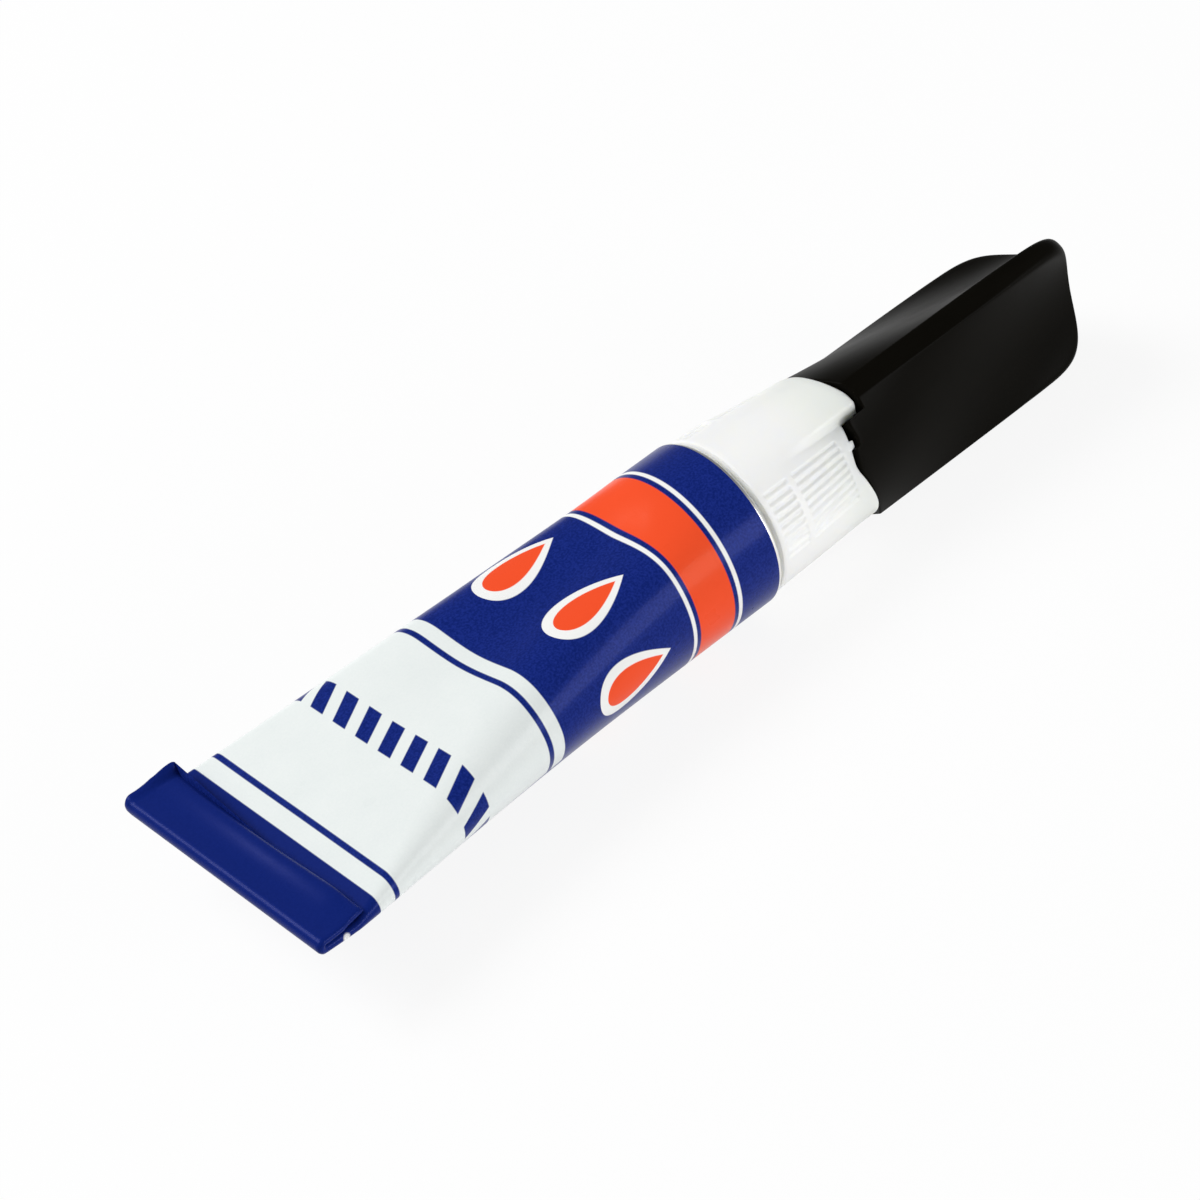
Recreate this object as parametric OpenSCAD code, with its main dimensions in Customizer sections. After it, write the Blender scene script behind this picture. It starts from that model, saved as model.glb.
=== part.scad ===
// Small squeeze tube of instant adhesive, lying on its side.
// A crimped aluminium tube carries a screw-on nozzle, closed by a three-finned cap with a needle inside.
// +X runs along the tube from its tail to its cap, and +Z is up. Sizes are in millimetres.
// "Station" below means the distance along the tube from its shoulder, positive towards the cap.

/* [Tube] */
// Outside diameter of the barrel
tube_d = 13.5; // [12:0.1:16]
// Wall of the tube
tube_wall = 0.2; // [0.15:0.05:0.3]
// Length from the shoulder to the end of the tail fold
tube_len = 46; // [42:0.5:60]
// Length of the barrel that stays round
barrel_len = 10; // [6:0.5:14]
// How late the barrel flattens towards the tail
flatten_power = 2.1; // [1.6:0.1:3]
// Height of the flattened tail above the tube's axis
tail_rise = 0.2; // [0:0.1:1]

/* [Tail fold] */
// Depth of the folded hem
fold_depth = 4.8; // [4:0.1:6]
// How far the hem's flap reaches over the swelling tube
flap_reach = 1.2; // [0.6:0.1:1.6]
// Thickness of the flattened tail, two walls and the seal between them
tail_thick = 0.7; // [0.6:0.05:0.9]
// Thickness of the flap folded onto the tail
flap_thick = 0.6; // [0.4:0.05:0.8]
// Upward tilt of the hem in degrees
fold_tilt = 8; // [0:1:12]
// How far the flap's front lip rises over the swelling tube
flap_lift = 0.7; // [0.5:0.05:0.9]

/* [Neck] */
// Outside diameter of the neck
neck_d = 7; // [6:0.1:7.2]
// Bore of the neck
neck_bore_d = 3.6; // [3:0.1:4]
// Station of the neck's mouth
neck_len = 7; // [6:0.1:7.2]
// Rise of the conical shoulder
shoulder_rise = 0.6; // [0.5:0.1:0.7]
// Hole that the piercer has opened in the membrane
pierced_d = 2.4; // [2.2:0.1:3]

/* [Nozzle] */
// Collar diameter next to the tube
collar_d_base = 13; // [12.6:0.1:13.2]
// Collar diameter at its front
collar_d_front = 12.4; // [12:0.1:12.8]
// Station of the low stretches of the collar's front edge
trough = 9.3; // [9.1:0.1:9.6]
// Station of the high stretches of the collar's front edge
crest = 11.5; // [10.5:0.1:12]
// Rise of the front edge from a low stretch to the foot of the steep wall before it
foot_rise = 0.6; // [0:0.1:0.8]
// Depth to which the grip panels slope into the collar at its front
panel_depth = 0.7; // [0.3:0.05:0.8]
// Ribs on each grip panel
rib_count = 8; // [4:1:9]
// Depth of the valleys beside the ribs
rib_depth = 0.18; // [0.05:0.01:0.25]
// Diameter of the boss that the cap screws on
boss_d = 8; // [7.6:0.1:8.4]
// Station of the spout's tip
spout_tip = 29.5; // [26:0.1:29.6]
// Outside diameter of the spout's tip
spout_tip_d = 1.7; // [1.5:0.1:2]
// Bore of the spout
channel_d = 0.9; // [0.8:0.05:1]

/* [Cap] */
// Diameter over the cap's fins
fin_d = 13.2; // [13:0.1:14]
// Width of a fin's rim next to the collar
rim_base = 1.6; // [1.2:0.1:2.2]
// Width of a fin's rim at the far end
rim_end = 1.8; // [1.2:0.1:2]
// Rounding of a fin's corners next to the collar
corner_base = 0.05; // [0.05:0.05:0.4]
// Rounding of a fin's corners at the far end
corner_end = 1.1; // [0.5:0.1:2]
// Distance from the axis to a panel's middle next to the collar
waist_base = 5.6; // [5.4:0.05:6.1]
// Distance from the axis to a panel's middle at the far end
waist_end = 2.2; // [2:0.1:2.8]
// Station of the cap's far end
cap_end = 34.8; // [34.6:0.1:36.5]
// Length of the domed far end
dome_len = 6.1; // [4.5:0.1:7]
// Angle of the first fin about the axis, from level left towards up
fin_angle = 116; // [100:0.5:140]
// Gap between the cap and the collar
cap_gap = 0.15; // [0.1:0.05:0.3]

/* [Needle] */
// Diameter of the steel needle
needle_d = 0.6; // [0.5:0.05:0.65]
// Length of the needle
needle_len = 9; // [7:0.1:10]

/* [Hidden] */
$fn = 96;

lobes = 3;
lobe_span = 360 / lobes;
tube_r = tube_d / 2;
tail_end_r = tail_thick / 2;
shell_skin = 0.03;
shell_overlap = 0.5;
edge_round = 0.4;
flat_station = -(tube_len - fold_depth + flap_reach);
flatten_len = -flat_station - barrel_len;
tail_half = PI * (tube_r - tail_end_r) / 2;
hem_flare = 0.2;
hem_w = 2 * (tail_half + tail_end_r + hem_flare);
hem_len = tube_len + flat_station;
seal_margin = 0.8;
seal_setback = 0.3;
seal_w = hem_w - 2 * seal_margin;
seal_len = hem_len - 1.2;
seal_thick = 0.2;
seal_slack = 0.02;
liquid_level = 1;
liquid_gap = 0.05;
shoulder_x = (tube_len - cap_end) / 2;
ring_points = 52;

collar_base = 0.35;
collar_bore_d = 10.2;
socket_play = 0.1;
socket_d = neck_d + 2 * socket_play;
socket_outer_d = 9.4;
socket_base = 1.2;
web_base = 6.6;
web_top = 8;
piercer_d = 1.9;
piercer_tip = 5;
boss_top = 14;
spout_root_d = 5;
foot_span = 30;
trough_span = 36;
panel_hold = 30;
panel_span = 75;
step_span = 8;
panel_base = 3.2;
rib_gap = 0.4;
rib_start = 8.2;
rib_pitch = 5.7;
rib_end = rib_start + rib_count * rib_pitch;
rib_flank = 0.3;
first_valley = rib_start - rib_flank * rib_pitch;
last_valley = rib_end + rib_flank * rib_pitch;
rib_base = 0.8;
rib_top = 8.6;
ramp_steps = 6;
step_parts = 3;
wall_width = 0.5;
crest_start = 105;
fin_r = fin_d / 2;
wall_clearance = 0.2;
wall_lag = 14;
wall_angle = fin_angle + wall_lag;
wall_slant = 1.5;
boss_play = 0.3;
spout_play = 0.7;
cap_bore_d = boss_d + 2 * boss_play;
needle_play = 0.03;
needle_hole_d = needle_d + 2 * needle_play;
needle_setback = 2.7;
needle_back = cap_end - needle_setback;
dome_start = cap_end - dome_len;
dome_power = 3.75;
rim_steps = 6;
panel_steps = 13;
corner_power = 4.7;
cap_base = (trough + crest) / 2;
cap_level = 13;
body_steps = 7;
dome_turns = 6;
dome_turn = 11.5;
// Stations of the cap's level rings: evenly along the fins, then by angle round the domed end
cap_stations = concat(
    [for (i = [0:body_steps]) cap_level + (dome_start - cap_level) * i / body_steps],
    [for (i = [1:dome_turns]) dome_start + dome_len * pow(sin(dome_turn * i), 2 / dome_power)]);

// A point at a station, a distance from the axis and an angle about it
function polar(s, r, a) = [s, r * cos(a), r * sin(a)];
// Smooth step from 0 to 1
function ease(t) = let (q = min(1, max(0, t))) q * q * (3 - 2 * q);
// Sum of a list of points
function total(list, i = 0) = i == len(list) - 1 ? list[i] : list[i] + total(list, i + 1);

// Middle of a ring of points
function middle(ring) = total(ring) / len(ring);

// Closed solid through rings of equally many points, with a fan over each end. The last fan can rise to
// a stated tip
module loft(rings, tip = undef) {
    n = len(rings[0]);
    m = len(rings);
    far_tip = is_undef(tip) ? middle(rings[m - 1]) : tip;
    points = concat([for (ring = rings) each ring], [middle(rings[0]), far_tip]);
    sides = [for (k = [0:m - 2], j = [0:n - 1])
        let (a = k * n + j, b = k * n + (j + 1) % n) each [[a, b + n, b], [a, a + n, b + n]]];
    first_end = [for (j = [0:n - 1]) [m * n, j, (j + 1) % n]];
    last_end = [for (j = [0:n - 1]) [m * n + 1, (m - 1) * n + (j + 1) % n, (m - 1) * n + j]];
    polyhedron(points, concat(sides, first_end, last_end));
}

// Solid of revolution about the tube's axis, from an outline of (radius, station) points
module revolve(outline) {
    rotate([0, 90, 0]) rotate_extrude() polygon(outline);
}

// Moves a piece from the axis, with the shoulder at zero, to where it lies on the table
module on_table() {
    translate([shoulder_x, 0, tube_r]) children();
}

// Share of the flattening at a station, from 0 on the round barrel to 1 at the tail
function flatness(s) = pow(max(0, -s - barrel_len) / flatten_len, flatten_power);

// Ring of the tube at a station: two half circles joined by flats, with the girth kept, inset by a wall
function tube_ring(s, inset) = let (
        t = flatness(s),
        r = tube_r + (tail_end_r - tube_r) * t,
        half = PI * (tube_r - r) / 2)
    [for (i = [0:ring_points - 1]) let (a = 360 * (i + 0.5) / ring_points)
        [s, sign(cos(a)) * half + (r - inset) * cos(a), tail_rise * t + (r - inset) * sin(a)]];

// Stations of the flattening shell, from the barrel to the tail
function shell_stations(steps, far_end) =
    [for (i = [0:steps]) -barrel_len + shell_overlap + (far_end + barrel_len - shell_overlap) * i / steps];

module flattened_shell() {
    steps = 13;
    closed_len = 1.4;
    inner_end = flat_station + closed_len;
    outside = shell_stations(steps, flat_station);
    inside = shell_stations(steps, inner_end);
    loft(concat(
        [for (i = [steps:-1:0]) tube_ring(outside[i], shell_skin)],
        [for (i = [0:steps]) tube_ring(inside[i], tube_wall - shell_skin)]));
}

// Round barrel, conical shoulder and neck, with the pierced membrane across the mouth
module shoulder_and_neck() {
    neck_r = neck_d / 2;
    bore_r = neck_bore_d / 2;
    inner_r = tube_r - tube_wall;
    membrane = 0.15;
    membrane_slope = 0.2;
    root = 0.1;
    mouth_chamfer = 0.3;
    shoulder_wall = 0.8;
    inner_round = 0.6;
    revolve([
        [inner_r, -barrel_len], [tube_r, -barrel_len], [tube_r, -edge_round],
        for (a = [15:15:75]) [tube_r - edge_round + edge_round * cos(a), -edge_round + edge_round * sin(a)],
        [tube_r - edge_round, 0], [neck_r + root, shoulder_rise], [neck_r, shoulder_rise + root],
        [neck_r, neck_len - mouth_chamfer], [neck_r - mouth_chamfer, neck_len], [pierced_d / 2, neck_len],
        [pierced_d / 2, neck_len - membrane], [bore_r, neck_len - membrane - membrane_slope],
        [bore_r, shoulder_rise - shoulder_wall / 2],
        [bore_r + shoulder_wall / 2, shoulder_rise - shoulder_wall],
        [inner_r - inner_round, -inner_round], [inner_r, -2 * inner_round]]);
}

// Places a fold's profile, drawn in station and height, at the tail
module at_tail() {
    translate([flat_station, 0, tail_rise]) rotate([0, fold_tilt, 0]) children();
}

// Hem: the flattened tail bent back over itself, with its flap lying on the tube
module hem() {
    bottom = -tail_thick / 2;
    bend_r = (tail_thick + flap_thick) / 2;
    bend_z = bottom + bend_r;
    bend_x = (bend_r - hem_len - bend_z * sin(fold_tilt)) / cos(fold_tilt);
    top = bend_z + bend_r;
    lip_top = top + flap_lift;
    tongue = 0.9;
    tongue_half = 0.2;
    lip_bevel = 0.1;
    lip_nose = 0.12;
    rotate([90, 0, 0]) linear_extrude(hem_w, center = true) polygon([
        [tongue, -tongue_half], [0, bottom],
        for (a = [270:-15:90]) [bend_x + bend_r * cos(a), bend_z + bend_r * sin(a)],
        [0, top], [flap_reach, lip_top - lip_bevel], [flap_reach + lip_nose, lip_top - flap_thick / 2],
        [flap_reach, lip_top - flap_thick], [0, -bottom], [tongue, tongue_half]]);
}

module seal_space(inset) {
    translate([-seal_len / 2 - seal_setback, 0, 0])
        cube([seal_len - inset, seal_w - inset, seal_thick - inset], center = true);
}

module tube_body() {
    color("navy") on_table() difference() {
        union() {
            shoulder_and_neck();
            flattened_shell();
            at_tail() hem();
        }
        at_tail() seal_space(0);
    }
}

// Strip of sealing latex pressed between the two walls of the tail
module fold_seal() {
    color("tan") on_table() at_tail() seal_space(seal_slack);
}

// Liquid settled in the lower part of the lying tube
module adhesive() {
    steps = 12;
    front = -1.4;
    closed_len = 4.5;
    back = flat_station + closed_len;
    inset = tube_wall + liquid_gap;
    color("lightyellow") on_table() loft([for (i = [steps:-1:0])
        let (s = front + (back - front) * i / steps)
        [for (p = tube_ring(s, inset)) [p[0], p[1], min(p[2], liquid_level)]]]);
}

// Station of the collar's saw-tooth front edge, at an angle past one of its steep walls
function wave(u) = u < foot_span ? trough + foot_rise * (1 - u / foot_span)
    : u < trough_span ? trough
    : u < crest_start ? trough + (crest - trough) * (u - trough_span) / (crest_start - trough_span)
    : crest;

// Angles past a steep wall at which the collar's rings have points: closely over the ribs, then wider
collar_steps = concat(
    [0, first_valley / 2, first_valley],
    [for (k = [0:rib_count - 1], f = [0, rib_flank, 1 - rib_flank]) rib_start + (k + f) * rib_pitch],
    [rib_end, last_valley],
    [for (i = [1:ramp_steps]) last_valley + (crest_start - last_valley) * i / ramp_steps],
    [for (i = [0:step_parts - 1]) lobe_span - step_span + (step_span - wall_width) * i / step_parts],
    [lobe_span - wall_width]);

// How far the collar is sunk, from 1 at a steep wall to 0: down over a soft step and slowly up again
function sink(u) = u > lobe_span - step_span ? ease((u - lobe_span) / step_span + 1)
    : 1 - ease((u - panel_hold) / (panel_span - panel_hold));

// Share of a grip panel's depth at a station, from 0 at its base line to 1 at the low stretches
function slope(s) = min(1, max(0, (s - panel_base) / (trough - panel_base)));

// 1 in the valleys beside the ribs, 0 elsewhere
function valley(u) = let (f = (u - rib_start) / rib_pitch)
    round(f) >= 0 && round(f) <= rib_count && abs(f - round(f)) < rib_flank / 2 ? 1 : 0;

// Whether the ribs run at a station: along the base ring and, after a gap, along the grip panel
function on_ribs(s) = s > rib_base && s < panel_base || s > panel_base + rib_gap && s < rib_top;

// Radius of the collar: a slight cone, with a ribbed grip panel sunk behind each steep wall
function collar_r(u, s) = let (
        cone = collar_d_base + (collar_d_front - collar_d_base) * min(1, s / trough),
        sunk = panel_depth * sink(u) * slope(s),
        groove = on_ribs(s) ? rib_depth * valley(u) : 0)
    cone / 2 - sunk - groove;

// Ring of the collar, level at a station or along the wavy front edge, drawn in by a given amount
function collar_ring(s, less = 0, along_wave = false) =
    [for (i = [0:lobes - 1], u = collar_steps) let (station = along_wave ? wave(u) + s : s)
        polar(station, collar_r(u, station) - less, wall_angle + i * lobe_span + u)];

module collar() {
    bore_r = collar_bore_d / 2;
    cut_past = 1;
    edge = 0.25;
    step = 0.3;
    panel_rib = panel_base + rib_gap;
    difference() {
        loft(concat(
            [collar_ring(collar_base, edge), collar_ring(collar_base + edge / 2, edge / 4)],
            [for (s = [rib_base, rib_base + step, panel_base - step, panel_base]) collar_ring(s)],
            [for (s = [panel_rib, panel_rib + step, rib_top - step, rib_top]) collar_ring(s)],
            [collar_ring(-edge, 0, true), collar_ring(-edge / 4, edge / 4, true)],
            [collar_ring(0, edge, true)],
            [[for (i = [0:lobes - 1], u = collar_steps)
                polar(wave(u), bore_r - edge, wall_angle + i * lobe_span + u)]]));
        revolve([[0, 0], [bore_r, 0], [bore_r, crest + cut_past], [0, crest + cut_past]]);
    }
}

// Socket on the neck with its piercer, the web under the cap, the boss and the tapering spout
module spout() {
    channel_r = channel_d / 2;
    socket_r = socket_d / 2;
    neck_gap = 0.3;
    piercer_edge = 0.2;
    spout_fillet = 0.6;
    boss_chamfer = 0.4;
    web_overlap = 0.1;
    web_r = collar_bore_d / 2 + web_overlap;
    ceiling = neck_len + neck_gap;
    revolve([
        [socket_r, socket_base], [socket_r, ceiling], [piercer_d / 2, ceiling],
        [channel_r + piercer_edge, piercer_tip], [channel_r, piercer_tip], [channel_r, spout_tip],
        [spout_tip_d / 2, spout_tip], [spout_root_d / 2, boss_top + spout_fillet],
        [spout_root_d / 2 + spout_fillet, boss_top],
        [boss_d / 2 - boss_chamfer, boss_top], [boss_d / 2, boss_top - boss_chamfer], [boss_d / 2, web_top],
        [web_r, web_top], [web_r, web_base],
        [socket_outer_d / 2, web_base], [socket_outer_d / 2, socket_base]]);
}

module nozzle() {
    color("whitesmoke") on_table() union() {
        collar();
        spout();
    }
}

// Length share along the cap, from its base to its far end
function cap_share(s) = (s - trough) / (cap_end - trough);
function waist(s) = waist_base + (waist_end - waist_base) * cap_share(s);
function rim_half_angle(s) = asin((rim_base + (rim_end - rim_base) * cap_share(s)) / fin_d);

// Radius of the domed far end at a station
function dome_r(s) = s <= dome_start ? fin_r
    : fin_r * pow(1 - pow((s - dome_start) / dome_len, dome_power), 1 / dome_power);

// Arc of a panel between two fins, as [centre's distance from the axis, signed radius]: it bulges next
// to the collar and is hollow towards the far end
function panel_arc(s) = let (
        half = lobe_span / 2 - rim_half_angle(s),
        chord = fin_r * sin(half),
        bulge = waist(s) - fin_r * cos(half),
        rho = (chord * chord + bulge * bulge) / (2 * bulge))
    [waist(s) - rho, rho];

// Half angle that a panel spans where its fins reach a given radius
function panel_half(arc, r) = acos((pow(arc[0], 2) + r * r - pow(arc[1], 2)) / (2 * arc[0] * r));

// Rounding of the fins' corners, which grows towards the far end
function corner(s) = corner_base + (corner_end - corner_base) * pow(cap_share(s), corner_power);

// The higher of two lengths, with the corner between them rounded
function soft_max(a, b, blend) = let (h = max(0, 1 - abs(a - b) / blend)) max(a, b) + h * h * blend / 4;

// How far a point lies past a panel's arc, or inside it if negative, at an angle off the panel's middle
function past_panel(arc, r, a) = sign(arc[1]) * (norm([r * cos(a) - arc[0], r * sin(a)]) - abs(arc[1]));

// How far a point lies outside the cap, past the fins' tips or the panel on either side of a fin
function past_skin(arc, tip, blend, r, a) = soft_max(r - tip,
    soft_max(past_panel(arc, r, a), past_panel(arc, r, lobe_span - a), blend), blend);

// Radius of the cap's skin at an angle off a panel's middle, found by halving
function skin_r(arc, tip, blend, a, low = 0, high = fin_r, turns = 18) = let (r = (low + high) / 2)
    turns == 0 ? r
    : past_skin(arc, tip, blend, r, a) < 0 ? skin_r(arc, tip, blend, a, r, high, turns - 1)
    : skin_r(arc, tip, blend, a, low, r, turns - 1);

// Ring of the cap: across each fin's rim, past the steep wall, then along the panel. It lies level at a
// station, or along the collar's wavy edge, there with a given radius if one is stated
function cap_ring(s, along_wave = false, fixed_r = 0) = let (
        tip = dome_r(s),
        arc = panel_arc(s),
        rim = lobe_span / 2 - panel_half(arc, tip),
        wall = rim + wall_lag - wall_clearance - rim_half_angle(cap_base),
        first = wall + wall_slant)
    [for (i = [0:lobes - 1], k = [0:rim_steps + 1 + panel_steps]) let (
            past = k - rim_steps - 2,
            a = k <= rim_steps ? rim * (2 * k / rim_steps - 1)
                : past < 0 ? wall
                : first + (lobe_span - rim - first) * past / panel_steps,
            r = skin_r(arc, tip, corner(s), abs(abs(a) - lobe_span / 2)),
            station = along_wave ? wave((a + fin_angle - wall_angle + lobe_span) % lobe_span) + cap_gap : s)
        polar(station, fixed_r > 0 ? fixed_r : r, fin_angle + i * lobe_span + a)];

module cap() {
    bore_r = cap_bore_d / 2;
    hole_r = needle_hole_d / 2;
    cut_past = 1;
    inner_edge = 0.8;
    spout_r = spout_root_d / 2 + spout_play;
    tip_r = spout_tip_d / 2 + spout_play;
    blind_gap = 0.2;
    blind_end = needle_back + blind_gap;
    color("#1c1b19") on_table() difference() {
        loft(concat(
            [cap_ring(cap_base, true, bore_r - inner_edge), cap_ring(cap_base, true)],
            [for (s = cap_stations) cap_ring(s)]), [cap_end, 0, 0]);
        revolve([
            [0, trough - cut_past], [bore_r, trough - cut_past], [bore_r, boss_top + spout_play],
            [spout_r, boss_top + 2 * spout_play], [tip_r, spout_tip + spout_play],
            [hole_r, spout_tip + 1.5 * spout_play], [hole_r, blind_end], [0, blind_end]]);
    }
}

// Steel needle that keeps the spout's bore clear, with a ground point
module cap_needle() {
    r = needle_d / 2;
    point = needle_back - needle_len;
    taper = 1.2;
    chamfer = 0.1;
    color("silver") on_table() revolve([
        [0, point], [r, point + taper], [r, needle_back - chamfer],
        [r - chamfer, needle_back], [0, needle_back]]);
}

tube_body();
fold_seal();
adhesive();
nozzle();
cap_needle();
cap();
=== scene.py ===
"""Looks of a small squeeze tube of instant adhesive, built round its CAD frame.

Lengths below are in millimetres and stations run along the tube's axis from its shoulder, positive
towards the cap. place() turns them into the frame's metres.
"""
import math

import bmesh
import bpy
import numpy as np
from mathutils import Matrix, Vector, noise


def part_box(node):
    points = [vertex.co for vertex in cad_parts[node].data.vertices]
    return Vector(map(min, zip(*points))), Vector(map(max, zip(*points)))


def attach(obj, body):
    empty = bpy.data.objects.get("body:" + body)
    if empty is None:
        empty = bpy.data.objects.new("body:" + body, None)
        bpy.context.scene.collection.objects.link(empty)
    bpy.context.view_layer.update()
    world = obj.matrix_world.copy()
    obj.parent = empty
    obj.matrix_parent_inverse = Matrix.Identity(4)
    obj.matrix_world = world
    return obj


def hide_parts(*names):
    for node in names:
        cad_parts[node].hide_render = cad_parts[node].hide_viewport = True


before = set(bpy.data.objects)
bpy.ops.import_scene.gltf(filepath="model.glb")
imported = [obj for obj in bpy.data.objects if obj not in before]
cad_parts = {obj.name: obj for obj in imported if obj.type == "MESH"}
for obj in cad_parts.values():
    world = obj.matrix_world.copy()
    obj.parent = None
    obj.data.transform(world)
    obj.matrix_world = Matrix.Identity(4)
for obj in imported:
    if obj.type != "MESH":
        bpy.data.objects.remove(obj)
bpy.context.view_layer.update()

MM = 0.001

# Sizes read from the frame
TUBE_LOW, TUBE_HIGH = (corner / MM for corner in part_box("tube_body"))
CAP_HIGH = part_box("cap")[1] / MM
NECK_LEN = 7.0
SHOULDER_X = TUBE_HIGH.x - NECK_LEN
TUBE_R = (TUBE_HIGH.z - TUBE_LOW.z) / 2
CAP_END = CAP_HIGH.x - SHOULDER_X
TUBE_LEN = SHOULDER_X - TUBE_LOW.x

# Tube and tail
TUBE_WALL = 0.2
BARREL_LEN = 10.0
FLATTEN_POWER = 2.1
TAIL_RISE = 0.2
FOLD_DEPTH = 4.8
FLAP_REACH = 1.2
FOLD_TILT = 8.0
TAIL_HALF_THICK = 0.35
FLAP_HALF_THICK = 0.29
FLAP_LIFT = 0.7
FLAT_STATION = -(TUBE_LEN - FOLD_DEPTH + FLAP_REACH)
FLATTEN_LEN = -FLAT_STATION - BARREL_LEN
GIRTH = 2 * math.pi * TUBE_R
GIRTH_POINTS = 256

# Pressed top of the tube: flatter than its underside, and hollow behind the barrel's front
PRESS_START = 6.7
PRESS_POWER = 1.32
HOLLOW_DEPTH = 1.55
HOLLOW_HALF_W = 6.5
HOLLOW_START = 4.0
HOLLOW_FULL = 10.0
HOLLOW_FADE = 26.0
TOP_FULL = 0.45
TOP_FADE = 0.35

# Neck
NECK_R = 3.5
NECK_BORE_R = 1.8
PIERCED_R = 1.2
SHOULDER_RISE = 0.6
EDGE_ROUND = 0.4
NECK_PITCH = 1.5
NECK_THREAD_DEPTH = 0.28
NECK_THREAD_START = 1.2
NECK_THREAD_MARGIN = 0.5
NECK_GROOVE = 0.3
NECK_RUNOUT = 0.6
NECK_CHAMFER = 0.3
NECK_FILLET = 0.1

# Nozzle
COLLAR_BASE = 0.35
COLLAR_BASE_R = 6.5
COLLAR_FRONT_R = 6.2
TROUGH = 9.3
CREST = 11.5
FOOT_RISE = 0.6
FOOT_SPAN = 30.0
TROUGH_SPAN = 36.0
CREST_START = 105.0
NIB_HEIGHT = 0.35
NIB_ANGLES = (14.0, 20.0)
NIB_SOFT = 1.2
PANEL_DEPTH = 0.7
PANEL_HOLD = 30.0
PANEL_SPAN = 75.0
STEP_SPAN = 8.0
PANEL_BASE = 3.2
RIB_GAP = 0.4
RIB_COUNT = 8
RIB_DEPTH = 0.13
VALLEY_HALF = 0.45
VALLEY_FLANK = 0.42
RIB_SOFT = 0.25
RIB_START = 8.2
RIB_PITCH = 5.7
RIB_BASE = 0.8
RIB_TOP = 8.6
COLLAR_BORE_R = 5.1
SOCKET_R = 3.6
SOCKET_OUTER_R = 4.7
SOCKET_BASE = 1.2
WEB_BASE = 6.6
WEB_TOP = 8.0
PIERCER_R = 0.95
PIERCER_TIP = 5.0
BOSS_R = 4.0
BOSS_TOP = 14.0
SPOUT_ROOT_R = 2.5
SPOUT_TIP = 29.5
SPOUT_TIP_R = 0.85
CHANNEL_R = 0.45
BOSS_LEAD = 12.6
BOSS_THREAD_DEPTH = 0.3
BOSS_THREAD_GAP = 0.2
BOSS_GROOVE = 0.22
BOSS_CHAMFER = 0.4
NECK_PLAY = 0.3
NOZZLE_EDGE = 0.25
SPOUT_FILLET = 0.6
SPOUT_RINGS = 12

# Cap
LOBES = 3
LOBE_SPAN = 360 / LOBES
FIN_R = 6.6
RIM_BASE = 1.6
RIM_END = 1.8
CORNER_BASE = 0.05
CORNER_END = 1.1
CORNER_POWER = 4.7
WAIST_BASE = 5.6
WAIST_END = 2.2
FIN_ANGLE = 116.0
WALL_LAG = 14.0
WALL_ANGLE = FIN_ANGLE + WALL_LAG
WALL_WIDTH = 0.5
WALL_GAP = 0.8
CAP_GAP = 0.15
CAP_LEVEL = 13.0
DOME_LEN = 6.1
DOME_START = CAP_END - DOME_LEN
DOME_POWER = 3.75
CAP_BORE_R = BOSS_R + 0.3
SPOUT_PLAY = 0.7
NEEDLE_HOLE_R = 0.33
CAP_EDGE = 0.15
MIN_BULGE = 1e-4
HALVINGS = 24
NIB_SWEEP = 14
BLIND_END = CAP_END - 2.5


def ease(t):
    """Smooth step from 0 to 1."""
    t = np.clip(t, 0.0, 1.0)
    return t * t * (3 - 2 * t)


def place(points):
    """Points of (station, y, z) about the tube's axis, in millimetres, to the frame's metres."""
    return (np.asarray(points, float) + (SHOULDER_X, 0, TUBE_R)) * MM


def polar(stations, radii, angles):
    """Points round the axis, with angles in degrees from +Y towards +Z."""
    turn = np.radians(angles)
    return np.stack(np.broadcast_arrays(stations, radii * np.cos(turn), radii * np.sin(turn)), -1)


def loft(name, rings, poles=(None, None), loop=False, print_stations=None):
    """Closed mesh through rings of equally many points, ended by poles or joined end to end.

    print_stations gives each ring's station for the print's UV map."""
    rings = np.asarray(rings, float)
    count, size = rings.shape[:2]
    points = [place(rings.reshape(-1, 3))]
    first, after = np.arange(size), np.roll(np.arange(size), -1)
    faces = []
    for k in range(count if loop else count - 1):
        low, high = k * size, (k + 1) % count * size
        faces += np.stack([low + first, low + after, high + after, high + first], 1).tolist()
    for pole, ring, order in ((poles[0], 0, 1), (poles[1], count - 1, -1)):
        if pole is not None:
            tip = sum(len(p) for p in points)
            points.append(place([pole]))
            base = ring * size
            fans = np.stack([np.full(size, tip), base + after, base + first], 1)[:, ::order]
            faces += fans.tolist()
    mesh = bpy.data.meshes.new(name)
    mesh.from_pydata(np.concatenate(points).tolist(), [], faces)
    if print_stations:
        write_print_map(mesh, np.array(print_stations))
    tidy = bmesh.new()
    tidy.from_mesh(mesh)
    bmesh.ops.recalc_face_normals(tidy, faces=tidy.faces)
    tidy.to_mesh(mesh)
    tidy.free()
    piece = bpy.data.objects.new(name, mesh)
    bpy.context.scene.collection.objects.link(piece)
    return piece


# The print's UV map: its units per millimetre, and how far the print leans along the tube
PRINT_SCALE = 0.01
PRINT_LEAN = 0.36
LEAN_START = 4
LEAN_GROWTH = 6
LEAN_FADE_START = 24
LEAN_FADE = 14


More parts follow.
